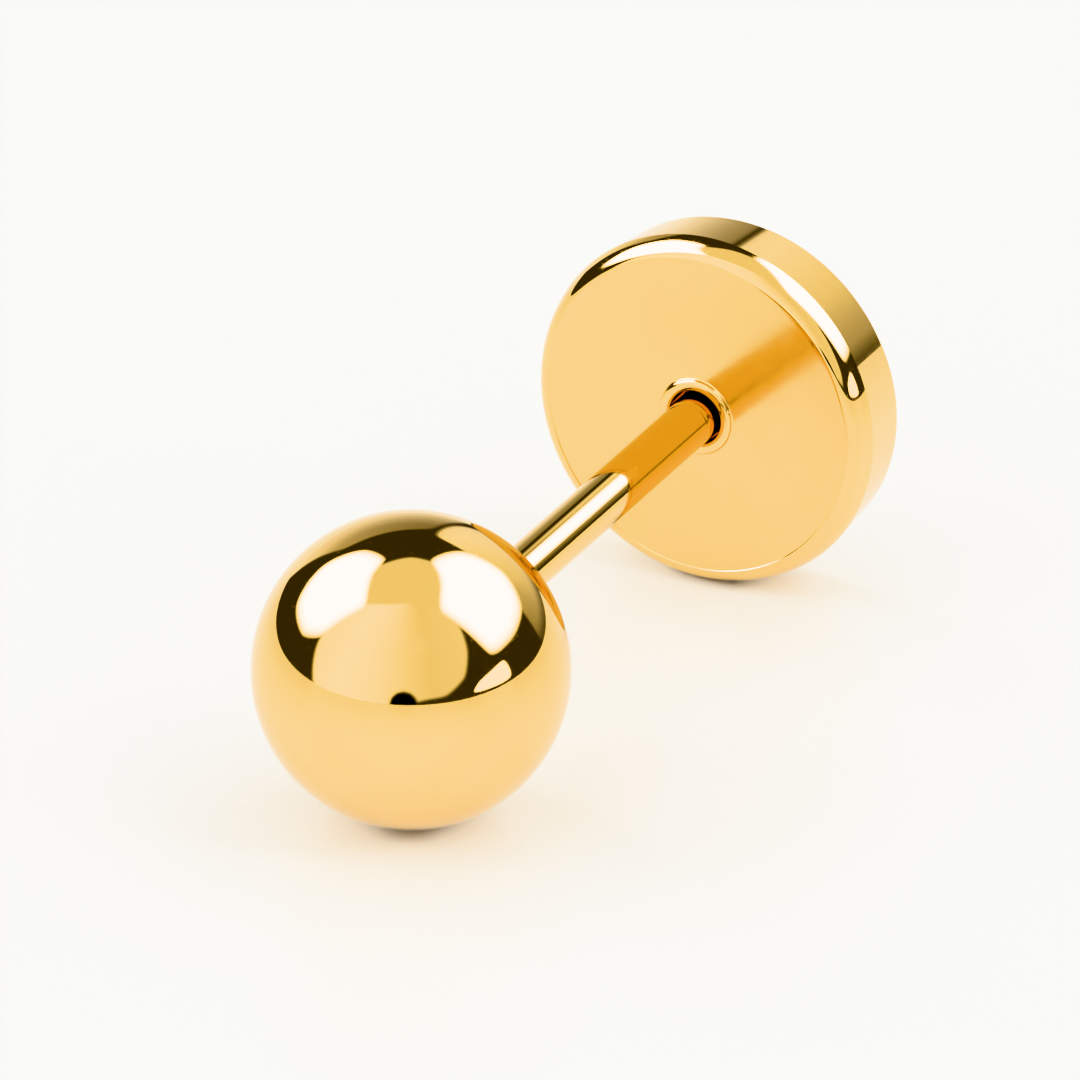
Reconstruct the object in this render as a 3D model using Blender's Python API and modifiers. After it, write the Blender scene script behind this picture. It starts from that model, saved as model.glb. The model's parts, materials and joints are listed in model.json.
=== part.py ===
"""Ball stud earring lying on a table: a polished gold ball on a straight post, and the disc back on the post's end.

Metres, +Z up, table at Z = 0. The post runs along +Y from the ball to the back. It climbs a little towards the
back, because the back is wider than the ball and both rest on the table. The back fits the post loosely, so it
stands upright on the table while the post climbs.
"""

import math

import bmesh
import bpy
from mathutils import Euler

# Driving dimensions of the ball and post
BALL_DIAMETER = 0.0050
POST_DIAMETER = 0.0008
POST_SHOWING = 0.0071  # bare post between the ball and the back
POST_TIP_CHAMFER = 0.00008

# Driving dimensions of the disc back
BACK_DIAMETER = 0.00595  # at the crease between the rim and the rounded front edge
BACK_THICKNESS = 0.00145
BACK_WALL = 0.00035  # metal left behind the blind hole
RIM_TAPER = 5.0  # degrees by which the rim narrows from the crease to the rear
FRONT_ROUND_ACROSS = 0.00032  # half axes of the ellipse that the front edge follows, across the face
FRONT_ROUND_ALONG = 0.00064  # and along the rim
CREASE_PLACE = 23.0  # degrees on that ellipse at which the crease cuts it off
REAR_ROUND = 0.00008
LIP_WIDTH = 0.00018  # half-round lip round the hole's mouth

# Fit of the post in the back's hole
HOLE_CLEARANCE = 0.00006  # all round the post
TIP_CLEARANCE = 0.0001  # between the post's tip and the hole's floor

# Facets of the turned shapes. A multiple of 4 puts corners straight above, below and beside the axis
SIDES = 48
BALL_STEPS = 15  # from the widest place to each end
EDGE_STEPS = 8
REAR_STEPS = 3
LIP_STEPS = 6
MERGE_DISTANCE = 1e-6

# Polished gold: linear base colour and the finish of a buffed mirror surface
GOLD = (0.97, 0.62, 0.17, 1.0)
BALL_ROUGHNESS = 0.06
BACK_ROUGHNESS = 0.08

# Sizes that follow from those above
BALL_RADIUS = BALL_DIAMETER / 2
POST_RADIUS = POST_DIAMETER / 2
BACK_RADIUS = BACK_DIAMETER / 2
HOLE_RADIUS = POST_RADIUS + HOLE_CLEARANCE
HOLE_DEPTH = BACK_THICKNESS - BACK_WALL
LIP_RADIUS = LIP_WIDTH / 2
CREASE_HEIGHT = FRONT_ROUND_ALONG * (1 - math.sin(math.radians(CREASE_PLACE)))  # over the front face
HELD_LENGTH = HOLE_DEPTH - TIP_CLEARANCE  # of the post inside the back
FACE_DISTANCE = BALL_RADIUS + POST_SHOWING  # from the ball's centre to the back's front face
POST_REACH = FACE_DISTANCE + HELD_LENGTH  # from the ball's centre to the post's tip
SEAT_DISTANCE = FACE_DISTANCE + HELD_LENGTH / 2  # to the place where the back's axis crosses the post's

# With the back upright, its centre lies one back radius over the table, and the post climbs to it
REST_TILT = math.asin((BACK_RADIUS - BALL_RADIUS) / SEAT_DISTANCE)

SHARP_ANGLE = math.radians(40)  # edges that turn more than this are shaded as corners


def arc(centre, radii, start, end, steps):
    """Points of an ellipse's arc as (radius, height) pairs, from the start angle to the end angle in degrees."""
    angles = [math.radians(start + (end - start) * step / steps) for step in range(steps + 1)]
    return [(centre[0] + radii[0] * math.cos(a), centre[1] + radii[1] * math.sin(a)) for a in angles]


def ball_post_outline():
    """The post's tip, its side and then the ball round to its front pole; height 0 is the ball's centre."""
    joint_angle = math.degrees(math.acos(POST_RADIUS / BALL_RADIUS))
    centre = (0.0, 0.0)
    radii = (BALL_RADIUS, BALL_RADIUS)
    rear_half = arc(centre, radii, joint_angle, 0, BALL_STEPS)
    front_half = arc(centre, radii, 0, -90, BALL_STEPS)
    return [
        (0.0, POST_REACH),
        (POST_RADIUS - POST_TIP_CHAMFER, POST_REACH),
        (POST_RADIUS, POST_REACH - POST_TIP_CHAMFER),
        *rear_half,
        *front_half[1:-1],
        (0.0, -BALL_RADIUS),
    ]


def rim_radius(height):
    """The rim's radius at a height over the front face. It narrows evenly from the crease towards the rear."""
    return BACK_RADIUS - (height - CREASE_HEIGHT) * math.tan(math.radians(RIM_TAPER))


def disc_back_outline():
    """Rear face, rear edge, rim, rounded front edge, front face, lip and blind hole; height 0 is the front face."""
    taper = math.radians(RIM_TAPER)
    rear_height = BACK_THICKNESS - REAR_ROUND
    rim_end = rear_height + REAR_ROUND * math.sin(taper)
    rear_corner = (rim_radius(rim_end) - REAR_ROUND * math.cos(taper), rear_height)
    crease_inset = FRONT_ROUND_ACROSS * math.cos(math.radians(CREASE_PLACE))
    front_corner = (BACK_RADIUS - crease_inset, FRONT_ROUND_ALONG)
    front_radii = (FRONT_ROUND_ACROSS, FRONT_ROUND_ALONG)
    lip_middle = (HOLE_RADIUS + LIP_RADIUS, 0.0)
    return [
        (0.0, BACK_THICKNESS),
        *arc(rear_corner, (REAR_ROUND, REAR_ROUND), 90, RIM_TAPER, REAR_STEPS),
        *arc(front_corner, front_radii, -CREASE_PLACE, -90, EDGE_STEPS),
        *arc(lip_middle, (LIP_RADIUS, LIP_RADIUS), 0, -180, LIP_STEPS),
        (HOLE_RADIUS, HOLE_DEPTH),
        (0.0, HOLE_DEPTH),
    ]


def clear_scene():
    for obj in list(bpy.data.objects):
        bpy.data.objects.remove(obj, do_unlink=True)


def polished_gold(name, roughness):
    """Mirror-polished gold for one sub-part."""
    material = bpy.data.materials.new(name)
    material.use_nodes = True
    shader = material.node_tree.nodes["Principled BSDF"]
    shader.inputs["Base Color"].default_value = GOLD
    shader.inputs["Metallic"].default_value = 1.0
    shader.inputs["Roughness"].default_value = roughness
    material.diffuse_color = GOLD
    return material


def turned(name, outline, material, collection):
    """A solid of revolution about its own Z axis, from an outline that runs down its outer side."""
    profile = bmesh.new()
    points = [profile.verts.new((radius, 0.0, height)) for radius, height in outline]
    for first, second in zip(points, points[1:]):
        profile.edges.new((first, second))
    mesh = bpy.data.meshes.new(name + "_outline")
    profile.to_mesh(mesh)
    profile.free()
    obj = bpy.data.objects.new(name, mesh)
    collection.objects.link(obj)
    screw = obj.modifiers.new("Turned round the axis", "SCREW")
    screw.axis = "Z"
    screw.angle = math.radians(360)
    screw.steps = SIDES
    screw.render_steps = SIDES
    screw.use_merge_vertices = True
    screw.merge_threshold = MERGE_DISTANCE
    apply_modifiers(obj, name)
    obj.data.shade_smooth()
    obj.data.set_sharp_from_angle(angle=SHARP_ANGLE)
    obj.data.materials.append(material)
    return obj


def apply_modifiers(obj, mesh_name):
    """Gives the object the mesh that its modifiers make, so that its finished surface can be measured."""
    outline_mesh = obj.data
    evaluated = obj.evaluated_get(bpy.context.evaluated_depsgraph_get())
    obj.data = bpy.data.meshes.new_from_object(evaluated)
    obj.data.name = mesh_name
    obj.modifiers.clear()
    bpy.data.meshes.remove(outline_mesh)


def post_axis(collection):
    """An empty in the ball's centre, whose own Z axis runs along the post towards the back."""
    axis = bpy.data.objects.new("post_axis", None)
    axis.empty_display_size = BALL_DIAMETER
    axis.rotation_euler = Euler((REST_TILT - math.radians(90), 0.0, 0.0))
    collection.objects.link(axis)
    return axis


def back_seat(axis, collection):
    """An empty on the post's axis, halfway along the held length, turned back so that its own Z axis is level."""
    seat = bpy.data.objects.new("back_seat", None)
    seat.empty_display_size = BACK_DIAMETER
    seat.parent = axis
    seat.location = (0.0, 0.0, SEAT_DISTANCE)
    seat.rotation_euler = Euler((-REST_TILT, 0.0, 0.0))
    collection.objects.link(seat)
    return seat


def centre_over_origin(axis, pieces):
    """Moves the stud along Y and lifts it onto the table, so that the origin lies below the middle of its length."""
    bpy.context.view_layer.update()
    surface = [piece.matrix_world @ vertex.co for piece in pieces for vertex in piece.data.vertices]
    lengthwise = [point.y for point in surface]
    axis.location = (0.0, -(min(lengthwise) + max(lengthwise)) / 2, BALL_RADIUS)


def build():
    clear_scene()
    stud = bpy.data.collections.new("ball_stud_earring")
    bpy.context.scene.collection.children.link(stud)
    axis = post_axis(stud)

    ball_gold = polished_gold("ball_post_gold", BALL_ROUGHNESS)
    ball_post = turned("ball_post", ball_post_outline(), ball_gold, stud)
    ball_post.parent = axis

    back_gold = polished_gold("disc_back_gold", BACK_ROUGHNESS)
    disc_back = turned("disc_back", disc_back_outline(), back_gold, stud)
    disc_back.parent = back_seat(axis, stud)
    disc_back.location = (0.0, 0.0, -HELD_LENGTH / 2)

    centre_over_origin(axis, [ball_post, disc_back])


build()
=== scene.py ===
# %% [markdown]
# # Ball stud earring: finish, studio and camera
#
# A ball stud is made of three turned shapes of gold plated brass: a ball, a thin straight post that is
# soldered to it, and a thick round back that closes on the post's end. All of it is polished like a mirror,
# so most of what the eye sees on it is the room. That makes this lesson a short one on shape, and a long
# one on light.
#
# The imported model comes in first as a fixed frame. It says where the metal is, and nothing here moves or
# resizes it. Lengths are metres, as in Blender, so a 5 mm ball is 0.005 across.

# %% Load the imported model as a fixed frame
import json
import math

import bpy
import numpy as np
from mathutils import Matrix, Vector


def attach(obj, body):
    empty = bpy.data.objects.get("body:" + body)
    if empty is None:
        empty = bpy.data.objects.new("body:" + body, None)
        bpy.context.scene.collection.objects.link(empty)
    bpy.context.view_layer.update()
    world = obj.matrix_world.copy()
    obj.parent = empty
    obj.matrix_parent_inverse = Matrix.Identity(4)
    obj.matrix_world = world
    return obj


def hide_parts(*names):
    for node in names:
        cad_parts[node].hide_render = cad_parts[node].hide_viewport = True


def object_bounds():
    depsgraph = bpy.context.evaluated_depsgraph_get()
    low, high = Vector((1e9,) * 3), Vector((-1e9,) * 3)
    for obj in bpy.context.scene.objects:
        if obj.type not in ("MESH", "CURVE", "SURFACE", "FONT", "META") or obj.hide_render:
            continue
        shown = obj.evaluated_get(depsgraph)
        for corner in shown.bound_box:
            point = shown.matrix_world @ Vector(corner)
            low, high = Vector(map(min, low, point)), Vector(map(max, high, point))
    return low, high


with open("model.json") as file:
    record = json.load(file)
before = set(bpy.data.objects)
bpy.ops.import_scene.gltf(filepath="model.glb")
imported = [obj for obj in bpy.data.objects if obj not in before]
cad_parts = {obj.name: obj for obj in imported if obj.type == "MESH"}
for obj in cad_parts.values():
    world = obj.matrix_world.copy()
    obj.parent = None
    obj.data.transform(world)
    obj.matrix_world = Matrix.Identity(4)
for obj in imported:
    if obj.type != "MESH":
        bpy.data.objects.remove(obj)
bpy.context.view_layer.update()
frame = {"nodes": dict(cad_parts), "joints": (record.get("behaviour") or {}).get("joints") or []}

MM = 0.001

# %% [markdown]
# ## Two axes
#
# Ball, post and back are turned shapes, so each is round about a line. The slide joint holds the direction
# of the post's line, because the back comes off along it. The back fits the post loosely and stands upright
# on the table, so it has a line of its own. Nobody has to type that line in: a disc is widest across its
# axis, so the direction in which its corners spread least is the axis. The singular value decomposition of
# the corners finds it. A point of each line is the mean of the solid's corners, because every ring of them
# is centred on the line.

# %% Find the axes
HAIR = 0.002 * MM  # lengths closer than this count as equal


def corners(node):
    """A CAD node's corners, each kept once, as an array with a row (x, y, z) for each."""
    vertices = frame["nodes"][node].data.vertices
    flat = np.empty(3 * len(vertices), np.float32)
    vertices.foreach_get("co", flat)
    steps = np.round(flat.reshape(-1, 3) / HAIR * 10)
    return np.unique(steps, axis=0) * HAIR / 10


def rings(node, middle, axis):
    """Each corner's distance from the axis and height along it: height = offset . axis, radius = the rest."""
    offset = corners(node) - middle
    height = offset @ axis
    radius = np.linalg.norm(offset - np.outer(height, axis), axis=1)
    return radius, height


post_axis = np.array(frame["joints"][0]["axis"], float)
post_axis /= np.linalg.norm(post_axis)
ball_middle = corners("ball_post").mean(axis=0)

back_middle = corners("disc_back").mean(axis=0)
back_axis = np.linalg.svd(corners("disc_back") - back_middle, full_matrices=False)[2][-1]
back_axis *= np.sign(back_axis @ post_axis)
for name, way in (("post", post_axis), ("back", back_axis)):
    print("The", name, "climbs by", round(math.degrees(math.asin(way[2])), 2), "degrees")

# %% [markdown]
# ## Sizes, read from the frame
#
# The new surfaces have to lie where the solids lie, so their sizes are measured on the solids and not
# typed. Each line picks one feature by a simple rule: the ball's centre is where the solid is widest, the
# front face is the lowest place far from the axis, and so on. Heights run along the axis from the ball
# towards the back.

# %% Measure the ball and the post
radius, height = rings("ball_post", ball_middle, post_axis)
ball_middle = ball_middle + height[radius.argmax()] * post_axis
radius, height = rings("ball_post", ball_middle, post_axis)
ball_radius = radius.max()
beyond_ball = height > 1.5 * ball_radius
post_radius = radius[beyond_ball].max()
post_tip = height.max()
tip_round = post_tip - height[beyond_ball & (radius > post_radius - HAIR)].max()
print("Ball and post radius, mm:", round(ball_radius / MM, 3), round(post_radius / MM, 3))

# %% Measure the disc back
radius, height = rings("disc_back", back_middle, back_axis)
back_rear = height.max()
crease_radius = radius.max()
crease = height[radius.argmax()]
rear_face_radius = radius[height > back_rear - HAIR].max()
behind_crease = (height > crease + HAIR) & (radius > rear_face_radius - HAIR)
rim_end = height[behind_crease].min()
rim_end_radius = radius[behind_crease].max()

outer_half = radius > crease_radius / 2
face = height[outer_half].min()
face_radius = radius[outer_half & (height < face + HAIR)].max()

inner = ~outer_half & (height > face + HAIR) & (height < back_rear - HAIR)
hole_radius = radius[inner].max()
hole_floor = height[inner].max()
lip_outer = radius[~outer_half & (abs(height - face) < HAIR)].max()
lip_round = (lip_outer - hole_radius) / 2
print("Back radius and thickness, mm:", round(crease_radius / MM, 3), round((back_rear - face) / MM, 3))

# %% [markdown]
# ## A turned surface, worked out as arrays
#
# A lathe carries one outline round the axis. Blender has a Screw modifier and a Spin tool for that. Here
# the same surface is worked out with numpy, because a mirror needs more than good points. Where light
# leaves a polished surface depends on its normal, and a normal averaged from the faces round a point is a
# little off wherever a flat meets a curve. The outline is made of straight stretches and arcs, and both
# know their normals exactly, so each point carries its normal along.
#
# An outline starts on the axis at the back, runs outwards and forwards down the outer side, and ends on the
# axis again. Each row of it holds radius, height, and the two parts of the normal. The last number that a
# stretch is given says how many points it has.

# %% Stretches of an outline
def straight(start, end, points):
    """Start + s (end - start). Its normal is the way along it, turned left by a right angle: (-dh, dr)."""
    share = np.linspace(0.0, 1.0, points)[:, None]
    way = np.subtract(end, start)
    way /= np.hypot(*way)
    normals = np.tile((-way[1], way[0]), (points, 1))
    return np.hstack((start + share * np.subtract(end, start), normals))


def arc(centre, radii, start, end, points, hollow=False):
    """Centre + (a cos t, b sin t), t in degrees. Normal: (cos t / a, sin t / b), or minus that if hollow."""
    turn = np.radians(np.linspace(start, end, points))
    circle = np.column_stack((np.cos(turn), np.sin(turn)))
    normals = circle / radii
    normals /= np.linalg.norm(normals, axis=1, keepdims=True)
    return np.hstack((centre + circle * radii, -normals if hollow else normals))


def joined(*stretches):
    """One outline from stretches. Where two neighbours share an end, one of the two points is kept."""
    rows = np.vstack(stretches)
    moves = np.hypot(*np.diff(rows[:, :2], axis=0).T)
    return rows[np.append(True, moves > HAIR / 100)]


# %% Carry an outline round the axis
def turned(name, outline, sides, middle, axis):
    """P(s, t) = middle + h(s) axis + r(s) (cos t across + sin t upward), with the normal turned alike."""
    across = np.cross(axis, (0.0, 0.0, 1.0))  # level, and square to the axis
    across /= np.linalg.norm(across)
    upward = np.cross(across, axis)
    radius, height, normal_out, normal_along = (column[:, None, None] for column in outline.T)
    turn = np.linspace(0.0, 2 * np.pi, sides, endpoint=False)
    spoke = np.outer(np.cos(turn), across) + np.outer(np.sin(turn), upward)
    points = middle + height * axis + radius * spoke
    normals = normal_along * axis + normal_out * spoke

    count = len(outline) - 2  # rings between the two poles
    vertices = np.vstack((points[0, :1], points[1:-1].reshape(-1, 3), points[-1, :1]))
    normals = np.vstack((normals[0, :1], normals[1:-1].reshape(-1, 3), normals[-1, :1]))
    here = 1 + np.arange(count * sides).reshape(count, sides)
    following = np.roll(here, -1, axis=1)
    quads = np.stack((here[:-1], following[:-1], following[1:], here[1:]), axis=-1).reshape(-1, 4)
    last = np.full(sides, len(vertices) - 1)
    rear_fan = np.column_stack((np.zeros(sides, int), following[0], here[0]))
    front_fan = np.column_stack((last, here[-1], following[-1]))

    mesh = bpy.data.meshes.new(name)
    mesh.from_pydata(vertices, [], quads.tolist() + rear_fan.tolist() + front_fan.tolist())
    mesh.shade_smooth()
    mesh.normals_split_custom_set_from_vertices(normals)
    piece = bpy.data.objects.new(name, mesh)
    bpy.context.scene.collection.objects.link(piece)
    print(name, "has", 2 * len(quads) + 2 * sides, "triangles")
    return piece


# %% [markdown]
# ## The ball and its post
#
# On the real stud the post is a wire with a polished end, soldered into the ball. Solder leaves a tiny
# hollow round in the corner between the two. A mirror shows that corner as a thin bright and dark line, so
# it is modelled: a circle that touches the wire on one side and the ball on the other. Its centre is one
# fillet radius off the wire and one off the ball, which gives its height by Pythagoras.

# %% Turn the ball and the post
SOLDER_ROUND = 0.07 * MM
ROUND_SIDES = 192
BALL_POINTS = 161

fillet_middle = np.array((post_radius + SOLDER_ROUND, 0.0))
fillet_middle[1] = math.sqrt((ball_radius + SOLDER_ROUND) ** 2 - fillet_middle[0] ** 2)
meets_ball = math.degrees(math.atan2(fillet_middle[1], fillet_middle[0]))

ball_outline = joined(
    straight((0.0, post_tip), (post_radius - tip_round, post_tip), 4),
    arc((post_radius - tip_round, post_tip - tip_round), (tip_round, tip_round), 90, 0, 9),
    straight((post_radius, post_tip - tip_round), (post_radius, fillet_middle[1]), 25),
    arc(fillet_middle, (SOLDER_ROUND, SOLDER_ROUND), 180, 180 + meets_ball, 13, hollow=True),
    arc((0.0, 0.0), (ball_radius, ball_radius), meets_ball, -90, BALL_POINTS),
)
ball_and_post = turned("polished_ball_and_post", ball_outline, ROUND_SIDES, ball_middle, post_axis)
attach(ball_and_post, "stud")
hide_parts("ball_post")

# %% [markdown]
# ## The disc back
#
# The back is a thick disc with a flat face towards the ear. Its rim narrows a little towards the rear and
# ends at the front in a crease. From there the edge rounds over to the face. The photo's reflections tell
# its form: each place on a mirror shows what the ball shows where it faces the same way, and read like that
# the edge is an ellipse's arc that starts 12 degrees off the rim's direction and ends flat. It stands a
# hair proud of the face and drops to it in a small step, the thin deep gold line. A half round lip stands
# about the hole. Where it meets the face, the turning tool leaves a small hollow round, as it does on the
# hole's floor.

# %% Sizes of the back's edges
BACK_SIDES = 256
CREASE_PLACE = 23.0  # degrees on the edge's ellipse where the crease cuts it off, as on the solid
CREASE_BREAK = 0.8  # degrees left out beside the crease, so that it catches light like a filed edge
STEP_ROUND = 0.02 * MM  # radius of the step's two rounds
STEP_SLOPE = 45.0  # degrees by which the step's middle leans from the face
TOOL_ROUND = 0.03 * MM

taper = math.atan2(crease_radius - rim_end_radius, rim_end - crease)
rear_round = (rim_end_radius - rear_face_radius) / math.cos(taper)
rear_corner = (rear_face_radius, back_rear - rear_round)

step_turn = math.radians(STEP_SLOPE)
crest = face - 2 * STEP_ROUND * (1 - math.cos(step_turn))
step_foot = face_radius - 2 * STEP_ROUND * math.sin(step_turn)
edge_along = (crease - crest) / (1 - math.sin(math.radians(CREASE_PLACE)))
edge_across = (crease_radius - face_radius) / math.cos(math.radians(CREASE_PLACE))

lip_middle = hole_radius + lip_round
lip_foot = lip_outer + TOOL_ROUND
lip_side = face - TOOL_ROUND - HAIR
print("The rim tapers by", round(math.degrees(taper), 1), "degrees")

# %% Turn the disc back
back_outline = joined(
    straight((0.0, back_rear), (rear_face_radius, back_rear), 12),
    arc(rear_corner, (rear_round, rear_round), 90, math.degrees(taper), 13),
    straight((rim_end_radius, rim_end), (crease_radius, crease), 8),
    arc((face_radius, crest + edge_along), (edge_across, edge_along), -CREASE_PLACE - CREASE_BREAK, -90, 49),
    arc((face_radius, crest + STEP_ROUND), (STEP_ROUND, STEP_ROUND), -90, -90 - STEP_SLOPE, 9),
    arc((step_foot, face - STEP_ROUND), (STEP_ROUND, STEP_ROUND), 90 - STEP_SLOPE, 90, 9, hollow=True),
    straight((step_foot, face), (lip_foot, face), 16),
    arc((lip_foot, face - TOOL_ROUND), (TOOL_ROUND, TOOL_ROUND), 90, 180, 9, hollow=True),
    straight((lip_outer, face - TOOL_ROUND), (lip_outer, lip_side), 2),
    arc((lip_middle, lip_side), (lip_round, lip_round - TOOL_ROUND - HAIR), 0, -180, 25),
    straight((hole_radius, lip_side), (hole_radius, hole_floor - TOOL_ROUND), 8),
    arc((hole_radius - TOOL_ROUND, hole_floor - TOOL_ROUND), (TOOL_ROUND, TOOL_ROUND), 0, 90, 7, hollow=True),
    straight((hole_radius - TOOL_ROUND, hole_floor), (0.0, hole_floor), 4),
)
disc_back = turned("polished_disc_back", back_outline, BACK_SIDES, back_middle, back_axis)
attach(disc_back, "back")
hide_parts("disc_back")


# %% [markdown]
# ## Nodes and colours
#
# Two helpers serve every material. One turns a colour as a screen shows it into the linear light that
# Blender works with. The other adds a node, sets it and links it.

# %% Helpers for materials
def linear(colour):
    """#RRGGBB to linear: c / 12.92 up to 0.04045, and ((c + 0.055) / 1.055) ** 2.4 above it."""
    shown = np.array([int(colour[place:place + 2], 16) for place in (1, 3, 5)]) / 255
    light = np.where(shown <= 0.04045, shown / 12.92, ((shown + 0.055) / 1.055) ** 2.4)
    return (*light.tolist(), 1.0)


def add(tree, kind, inputs=None, **settings):
    """Adds a node. Settings are its own properties, and an input is a value or the output that it takes."""
    node = tree.nodes.new("ShaderNode" + kind)
    for name, value in settings.items():
        setattr(node, name, value)
    for name, value in (inputs or {}).items():
        if isinstance(value, bpy.types.NodeSocket):
            tree.links.new(value, node.inputs[name])
        else:
            node.inputs[name].default_value = value
    return node


def new_material(name):
    """An empty material and its node tree."""
    material = bpy.data.materials.new(name)
    material.use_nodes = True
    material.node_tree.nodes.clear()
    return material, material.node_tree


# %% [markdown]
# ## Gold plate on polished brass
#
# The brass is turned, buffed to a mirror and plated with a micron of gold. Plating follows what lies under
# it, so the gold keeps three things from the buffing. The wheel leaves slow hollows about half a millimetre
# across, a few ten thousandths of a millimetre deep, which make the edge of a reflection waver a little. It
# leaves faint haze, which is roughness that changes from place to place. And the tool leaves rings about
# the axis, far too fine to see one by one, so they are drawn twenty times coarser and only just felt. The
# gold's own colour hardly changes.
#
# The disc's flat faces look lapped on a plate rather than buffed, because in the photo they mirror the post
# with soft edges. So they are a little rougher between two radii, which the call gives.
#
# The patterns read Object coordinates. A Mapping node of the type Texture undoes a move and a turn, so its
# output is measured from the piece's middle with Z along its axis.

# %% Gold plate
GOLD = "#FCD074"
THIN_GOLD = "#F9CB6E"
WAVE_WIDTH = 0.6 * MM
WAVE_DEPTH = 0.00025 * MM
HAZE_WIDTH = 0.35 * MM
RING_SPACING = 0.04 * MM
RING_DEPTH = 0.00001 * MM
LAPPED_ROUGHNESS = 0.09
NOISE_LOW = 0.3  # noise seldom leaves the range between these two
NOISE_HIGH = 0.7


def gold_plate(name, sharpest, haziest, middle, axis, lapped=None):
    """Polished gold plate whose roughness runs from sharpest to haziest, for a piece turned about this axis.

    Lapped is (inner radius, outer radius). LAPPED_ROUGHNESS is added between them.
    """
    material, tree = new_material(name)
    place = add(tree, "TexCoord").outputs["Object"]
    own = add(tree, "Mapping", {
        "Vector": place,
        "Location": middle,
        "Rotation": (math.asin(axis[2]) - math.pi / 2, 0.0, 0.0),
    }, vector_type="TEXTURE").outputs["Vector"]

    slow = add(tree, "TexNoise", {"Vector": own, "Scale": 1 / WAVE_WIDTH, "Detail": 1.0}).outputs["Fac"]
    haze = add(tree, "TexNoise", {"Vector": own, "Scale": 1 / HAZE_WIDTH, "Detail": 4.0}).outputs["Fac"]
    flat = add(tree, "VectorMath", {0: own, 1: (1.0, 1.0, 0.0)}, operation="MULTIPLY").outputs["Vector"]
    from_axis = add(tree, "VectorMath", {0: flat}, operation="LENGTH").outputs["Value"]
    along = add(tree, "SeparateXYZ", {"Vector": own}).outputs["Z"]
    ring_place = add(tree, "CombineXYZ", {"X": from_axis, "Y": along}).outputs["Vector"]
    ring = add(tree, "TexNoise", {
        "Vector": ring_place, "Scale": 1 / RING_SPACING, "Detail": 2.0,
    }).outputs["Fac"]

    waves = add(tree, "Bump", {"Height": slow, "Distance": WAVE_DEPTH}).outputs["Normal"]
    grooves = add(tree, "Bump", {"Height": ring, "Distance": RING_DEPTH, "Normal": waves}).outputs["Normal"]
    roughness = add(tree, "MapRange", {
        "Value": haze, "From Min": NOISE_LOW, "From Max": NOISE_HIGH, "To Min": sharpest, "To Max": haziest,
    }).outputs["Result"]
    if lapped:
        flat_ring = {0: from_axis, 1: sum(lapped) / 2, 2: (lapped[1] - lapped[0]) / 2}
        on_face = add(tree, "Math", flat_ring, operation="COMPARE").outputs["Value"]
        factors = {0: on_face, 1: LAPPED_ROUGHNESS, 2: roughness}
        roughness = add(tree, "Math", factors, operation="MULTIPLY_ADD").outputs["Value"]
    colour = add(tree, "Mix", {"Factor": slow, "A": linear(GOLD), "B": linear(THIN_GOLD)}, data_type="RGBA")
    shader = add(tree, "BsdfPrincipled", {
        "Base Color": colour.outputs["Result"],
        "Metallic": 1.0,
        "Roughness": roughness,
        "Normal": grooves,
    })
    add(tree, "OutputMaterial", {"Surface": shader.outputs["BSDF"]})
    return material


ball_and_post.data.materials.append(gold_plate(
    "gold_plate_buffed_ball", sharpest=0.02, haziest=0.05, middle=ball_middle, axis=post_axis,
))
disc_back.data.materials.append(gold_plate(
    "gold_plate_buffed_disc", sharpest=0.03, haziest=0.07, middle=back_middle, axis=back_axis,
    lapped=(lip_foot, step_foot),
))

# %% [markdown]
# ## The camera
#
# The picture is taken from about twelve centimetres above the table, 28 degrees to the side of the post.
# The angle and the distance give the picture its perspective, so they come first, and the lens is then as
# long as it takes for the stud to fill the frame.

# %% Camera
CAMERA_AZIMUTH = 28.0
CAMERA_ELEVATION = 24.9
CAMERA_DISTANCE = 0.274
PICTURE_WIDTH = 17.0 * MM
SENSOR_WIDTH = 36.0


def direction(azimuth, elevation):
    """The way from the stud to (azimuth, elevation): (cos e sin a, -cos e cos a, sin e). Azimuth 0 is -Y."""
    turn, rise = np.radians(azimuth), np.radians(elevation)
    return np.stack((np.cos(rise) * np.sin(turn), -np.cos(rise) * np.cos(turn), np.sin(rise)), axis=-1)


low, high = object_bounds()
to_camera = Vector(direction(CAMERA_AZIMUTH, CAMERA_ELEVATION))
camera_data = bpy.data.cameras.new("camera")
camera_data.sensor_width = SENSOR_WIDTH
camera_data.lens = SENSOR_WIDTH * CAMERA_DISTANCE / PICTURE_WIDTH
camera_data.clip_start = CAMERA_DISTANCE / 10
camera = bpy.data.objects.new("camera", camera_data)
camera.location = (low + high) / 2 + to_camera * CAMERA_DISTANCE
camera.rotation_euler = (-to_camera).to_track_quat("-Z", "Y").to_euler()
bpy.context.scene.collection.objects.link(camera)
bpy.context.scene.camera = camera
print("Lens, mm:", round(camera_data.lens, 1))

# %% [markdown]
# ## Light that has met metal twice
#
# In the photo a mirror picture within a mirror picture, such as the post's picture on the disc, is a deep
# and rather dark orange. Gold tints light at each bounce, but the lamps' pictures are so bright that two
# bounces would still leave a pale pink. So the table and the lamps are made darker to light that has met
# metal twice. A real room does no such thing, and it is done for the look alone. The Light Path node counts
# the bounces: Glossy Depth is 1 after the first mirror and 2 after the second.

# %% A switch for such light
def mirrored_twice(tree):
    """1 for light that has met metal twice or more, and 0 for other light: glossy depth > 1.5."""
    bounces = add(tree, "LightPath").outputs["Glossy Depth"]
    return add(tree, "Math", {0: bounces, 1: 1.5}, operation="GREATER_THAN").outputs["Value"]


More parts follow.
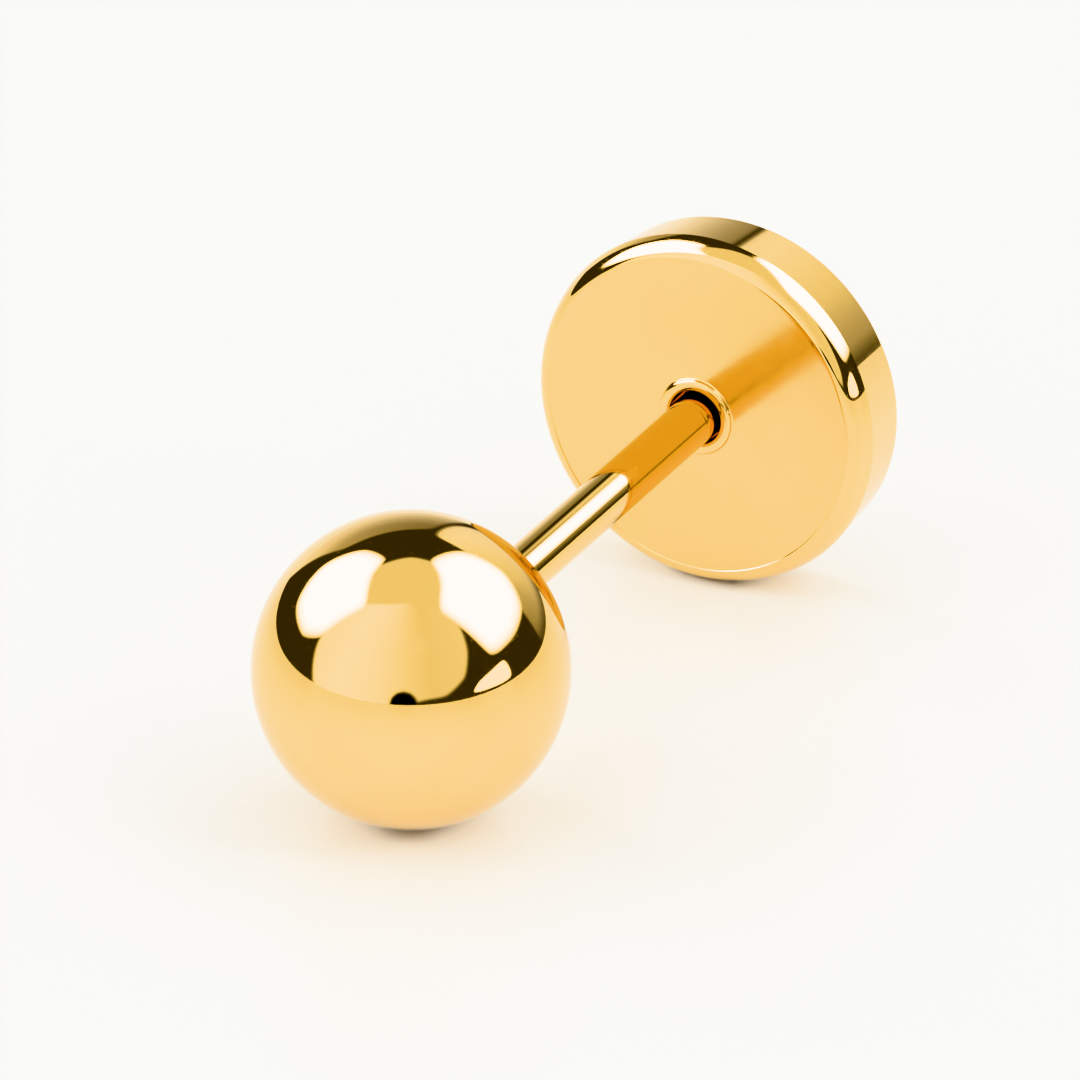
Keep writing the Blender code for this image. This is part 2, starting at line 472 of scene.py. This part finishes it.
# %% [markdown]
# ## The table
#
# The stud lies on a plain board covered with white laminate, which is pressed paper and resin with a slight
# gloss. The metal mirrors it almost as bright as it is lit. The eye gets a slightly greyer one, so that the
# soft brown shadows under the ball and the disc aren't washed out.

# %% The board
TABLE_HALF = 1.0
table_corners = TABLE_HALF * np.array(((-1, -1, 0), (1, -1, 0), (1, 1, 0), (-1, 1, 0)), float)
table_mesh = bpy.data.meshes.new("table")
table_mesh.from_pydata(table_corners, [], [(0, 1, 2, 3)])
table = bpy.data.objects.new("table", table_mesh)
bpy.context.scene.collection.objects.link(table)

# %% White laminate
LAMINATE = "#F4F4F4"
LAMINATE_TWICE_MIRRORED = "#C4C4C4"
LAMINATE_TO_THE_EYE = "#E0E0DE"
LAMINATE_ROUGHNESS = 0.25

material, tree = new_material("white_laminate")
white = add(tree, "Mix", {
    "Factor": mirrored_twice(tree), "A": linear(LAMINATE), "B": linear(LAMINATE_TWICE_MIRRORED),
}, data_type="RGBA").outputs["Result"]
seen = add(tree, "LightPath").outputs["Is Camera Ray"]
white = add(tree, "Mix", {
    "Factor": seen, "A": white, "B": linear(LAMINATE_TO_THE_EYE),
}, data_type="RGBA").outputs["Result"]
shader = add(tree, "BsdfPrincipled", {"Base Color": white, "Roughness": LAMINATE_ROUGHNESS})
add(tree, "OutputMaterial", {"Surface": shader.outputs["BSDF"]})
table_mesh.materials.append(material)

# %% [markdown]
# ## The studio
#
# A polished ball shows the whole room, so the room is built with care. Each lamp, wall or reflector is a
# card: a curved sheet on a big sphere about the stud. Its outline is given by a few corners, as azimuth and
# elevation seen from the stud, with azimuth 0 towards the camera, and the corners are cut again and again
# until they are round. Nearer cards hide farther ones. The cover of a card falls to nothing at its rim, so
# its edge in the mirror is soft, as the edge of a real softbox is.
#
# Each card's glow comes from its mesh, which holds the light and the cover at each point. To light that has
# met metal twice no card is brighter than a limit.

# %% Shape of a card
CARD_RINGS = 12
CORNER_CUTS = (0.15, 0.25, 0.25)  # share of each side that a cut takes off at both ends


def rounded(points):
    """Cuts each corner of a closed outline: P and Q become P + c (Q - P) and P + (1 - c) (Q - P)."""
    for cut in CORNER_CUTS:
        side = np.roll(points, -1, axis=0) - points
        points = np.stack((points + cut * side, points + (1 - cut) * side), axis=1).reshape(-1, 3)
    return points


def card_mesh(name, corners, light, distance, soft, round_table, upward_table):
    """P(k, t) = distance * unit(M + k (E(t) - M)), M the mean of the outline E; k crowds towards the rim.

    Cover = ((1 - k) / soft) squared, and 1 at most. The light is multiplied by what the tables say at a
    point's azimuth and elevation. Each table is (places, factors).
    """
    azimuth, elevation = np.array(corners, float).T
    outline = rounded(direction(CAMERA_AZIMUTH + azimuth, elevation))
    middle = outline.mean(axis=0)
    share = np.linspace(0.0, 1.0, CARD_RINGS + 1)[1:] ** 0.5
    way = np.vstack((middle, (middle + share[:, None, None] * (outline - middle)).reshape(-1, 3)))
    points = distance * way / np.linalg.norm(way, axis=-1, keepdims=True)

    spokes = len(outline)
    here = 1 + np.arange(CARD_RINGS * spokes).reshape(CARD_RINGS, spokes)
    following = np.roll(here, -1, axis=1)
    quads = np.stack((here[:-1], here[1:], following[1:], following[:-1]), axis=-1).reshape(-1, 4)
    fan = np.column_stack((np.zeros(spokes, int), here[0], following[0]))
    mesh = bpy.data.meshes.new(name)
    mesh.from_pydata(points, [], quads.tolist() + fan.tolist())

    brightness = np.full(len(points), light)
    if round_table:
        seen_from = np.degrees(np.arctan2(points[:, 0], -points[:, 1])) - CAMERA_AZIMUTH
        brightness *= np.interp((seen_from + 180.0) % 360.0 - 180.0, *round_table)
    if upward_table:
        brightness *= np.interp(np.degrees(np.arcsin(points[:, 2] / distance)), *upward_table)
    cover = np.clip((1.0 - np.append(0.0, np.repeat(share, spokes))) / soft, 0.0, 1.0)
    for key, value in (("light", brightness), ("cover", cover ** 2)):
        mesh.attributes.new(key, "FLOAT", "POINT").data.foreach_set("value", value.astype(np.float32))
    return mesh


# %% Glow of a card
TWICE_MIRRORED_LIMIT = 0.9


def card_glow(name, room_light):
    """Glows as the mesh says, but as room_light, if given, to what comes from the table by way of the metal."""
    material, tree = new_material(name)
    strength = add(tree, "Attribute", attribute_name="light").outputs["Fac"]
    if room_light is not None:
        depth = add(tree, "LightPath").outputs["Diffuse Depth"]
        strength = add(tree, "Mix", {
            "Factor": depth, "A": strength, "B": room_light,
        }, data_type="FLOAT").outputs["Result"]
    limited = add(tree, "Math", {0: strength, 1: TWICE_MIRRORED_LIMIT}, operation="MINIMUM").outputs["Value"]
    strength = add(tree, "Mix", {
        "Factor": mirrored_twice(tree), "A": strength, "B": limited,
    }, data_type="FLOAT").outputs["Result"]
    glow = add(tree, "Emission", {"Color": linear("#FFFFFF"), "Strength": strength})
    clear = add(tree, "BsdfTransparent").outputs["BSDF"]
    cover = add(tree, "Attribute", attribute_name="cover").outputs["Fac"]
    mixed = add(tree, "MixShader", {"Fac": cover, 1: clear, 2: glow.outputs["Emission"]}).outputs["Shader"]
    add(tree, "OutputMaterial", {"Surface": mixed})
    material.cycles.emission_sampling = "NONE"
    return material


# %% A card
def card(name, corners, light, distance, soft=0.1, round_table=None, upward_table=None, room_light=None):
    """Hangs up a card that the camera doesn't see. With room_light, matt surfaces don't see it either."""
    mesh = card_mesh(name, corners, light, distance, soft, round_table, upward_table)
    sheet = bpy.data.objects.new(name, mesh)
    bpy.context.scene.collection.objects.link(sheet)
    sheet.visible_camera = False
    sheet.visible_diffuse = room_light is None
    mesh.materials.append(card_glow(name, room_light))
    print("Card", name, "hangs at", distance, "m")


# %% [markdown]
# ## What stands round the stud
#
# Two big softboxes hang left and right. In a mirror each is a white shape many times brighter than the
# paper white of the table. The table's matt white is lit by lamps of its own instead, which come below.
# Where the table sees the softboxes by way of the metal they are far dimmer, or the gold would throw a
# strong glow on it. Between them stands a pale front wall, brighter on its left, with the camera's dark
# outline at its foot. A ceiling closes the room overhead, a small reflector stands at the right, and two
# dim backdrops stand behind. None of these four is a lamp: the light that falls on each is painted on as
# its own glow, and the wall's brighter left and the backdrops' darker parts are painted light and shade.
# All else is dark.

# %% Build the studio
SOFTBOX_SHINE = 90.0  # mirrored in the metal, as the eye sees it
SOFTBOX_LIGHT = 2.0  # mirrored in the metal, as the table sees it
SOFTBOX_DISTANCE = 1.30
SOFTBOX_EDGE = 0.35  # share of the way to the middle over which the cover falls
CEILING_EDGE = 57
CEILING_EDGE_BEHIND = 65
BEHIND = 140  # azimuth from which the ceiling's edge is higher
SHADE_AZIMUTH = -5
SHADE_RADIUS = 13

card("softbox_left", (
    (-122, 15), (-96, 15), (-80, 24), (-63, 58), (-90, 65), (-120, 66), (-154, 63), (-152, 44), (-140, 25),
), light=SOFTBOX_SHINE, distance=SOFTBOX_DISTANCE, soft=SOFTBOX_EDGE, room_light=SOFTBOX_LIGHT)
card("softbox_right", (
    (64, 18), (92, 18), (117, 18), (136, 24), (151, 42), (159, 66), (125, 72), (90, 73), (60, 70), (41, 61),
), light=SOFTBOX_SHINE, distance=SOFTBOX_DISTANCE, soft=SOFTBOX_EDGE, room_light=SOFTBOX_LIGHT)
# The front wall is no lamp: its glow is painted light, brighter towards its left.
card("front_wall", (
    (-72, -8), (-20, -8), (8, 2), (26, 3), (42, 13), (51, 30), (57, 48), (46, 67), (0, 75), (-45, 69),
    (-85, 50), (-83, 20),
), light=1.0, distance=1.35,
     round_table=((-75, -55, -35, -15, 0, 15, 50), (2.7, 3.3, 3.0, 2.1, 1.4, 1.05, 1.25)))
# The ceiling is no lamp: its even glow is painted light.
card("ceiling", tuple(
    (azimuth, CEILING_EDGE_BEHIND if abs(azimuth) > BEHIND else CEILING_EDGE)
    for azimuth in range(-180, 180, 30)
), light=1.1, distance=1.40)
# The reflector is no lamp: its glow is painted light.
card("reflector", ((43, 2), (50, 9), (76, 15), (79, 1)), light=6.0, distance=SOFTBOX_DISTANCE)
card("camera_shade", tuple(
    (SHADE_AZIMUTH + SHADE_RADIUS * math.cos(math.radians(turn)), SHADE_RADIUS * math.sin(math.radians(turn)))
    for turn in range(0, 360, 30)
), light=0.0, distance=1.20, soft=0.3)
# The backdrops are no lamps: their glow is painted light, dimmed in places as painted shade.
card("backdrop_right", ((113, -4), (169, -4), (171, 40), (150, 43), (112, 21)), light=1.0, distance=1.45,
     round_table=((115, 128, 145, 160, 168), (0.5, 0.7, 1.2, 1.7, 1.5)),
     upward_table=((2, 7, 20, 27), (0.2, 0.7, 1.0, 1.1)))
card("backdrop_behind", (
    (169, -4), (190, -4), (212, -4), (213, 32), (192, 36), (170, 33),
), light=1.0, distance=1.46,
     round_table=((-180, -150, 168, 180), (1.1, 1.8, 0.8, 1.1)),
     upward_table=((0, 6, 16, 24, 32), (1.1, 0.8, 0.5, 0.32, 0.28)))


# %% [markdown]
# ## Lamps that light the table
#
# A mirror finds a card by itself, but a matt table would find it only by chance, which is noisy. So each
# softbox gets an area lamp of about its size in its place, which mirrors don't show. The lamps make the
# table paper white.

# %% Lamps
LAMP_WATTS = 80.0  # per square metre of lamp


def softbox_lamp(name, azimuth, elevation, width, height):
    """A rectangle lamp at this azimuth and elevation; width and height are degrees: 2 distance tan(half)."""
    place = direction(CAMERA_AZIMUTH + azimuth, elevation) * SOFTBOX_DISTANCE
    lamp_data = bpy.data.lights.new(name, "AREA")
    lamp_data.shape = "RECTANGLE"
    lamp_data.size = 2 * SOFTBOX_DISTANCE * math.tan(math.radians(width / 2))
    lamp_data.size_y = 2 * SOFTBOX_DISTANCE * math.tan(math.radians(height / 2))
    lamp_data.energy = LAMP_WATTS * lamp_data.size * lamp_data.size_y
    lamp = bpy.data.objects.new(name, lamp_data)
    lamp.location = place
    lamp.rotation_euler = Vector(place).to_track_quat("Z", "Y").to_euler()
    lamp.visible_glossy = False
    lamp.visible_camera = False
    bpy.context.scene.collection.objects.link(lamp)
    print(name, "watts:", round(lamp_data.energy, 1))


softbox_lamp("lamp_left", azimuth=-108, elevation=40, width=55, height=44)
softbox_lamp("lamp_right", azimuth=98, elevation=44, width=62, height=48)

# %% [markdown]
# ## The world and the picture's tones
#
# What no card covers is a dark, slightly warm room. To the eye alone the world is paper white, so that a
# picture taken from low down stays white past the table's far edge. The view transform is the one made for
# products: it keeps a colour as it is until near white, and only then lets it pale.

# %% World
ROOM_TINT = "#FFF3E1"
ROOM_DARK = 0.04
PAPER_WHITE = 60.0
world = bpy.data.worlds.new("studio")
bpy.context.scene.world = world
world.use_nodes = True
tree = world.node_tree
tree.nodes.clear()
dark_room = add(tree, "Background", {"Color": linear(ROOM_TINT), "Strength": ROOM_DARK})
white_room = add(tree, "Background", {"Color": linear("#FFFFFF"), "Strength": PAPER_WHITE})
eye = add(tree, "LightPath").outputs["Is Camera Ray"]
mixed = add(tree, "MixShader", {
    "Fac": eye, 1: dark_room.outputs["Background"], 2: white_room.outputs["Background"],
})
add(tree, "OutputWorld", {"Surface": mixed.outputs["Shader"]})

# %% Colour management
bpy.context.scene.view_settings.view_transform = "Khronos PBR Neutral"
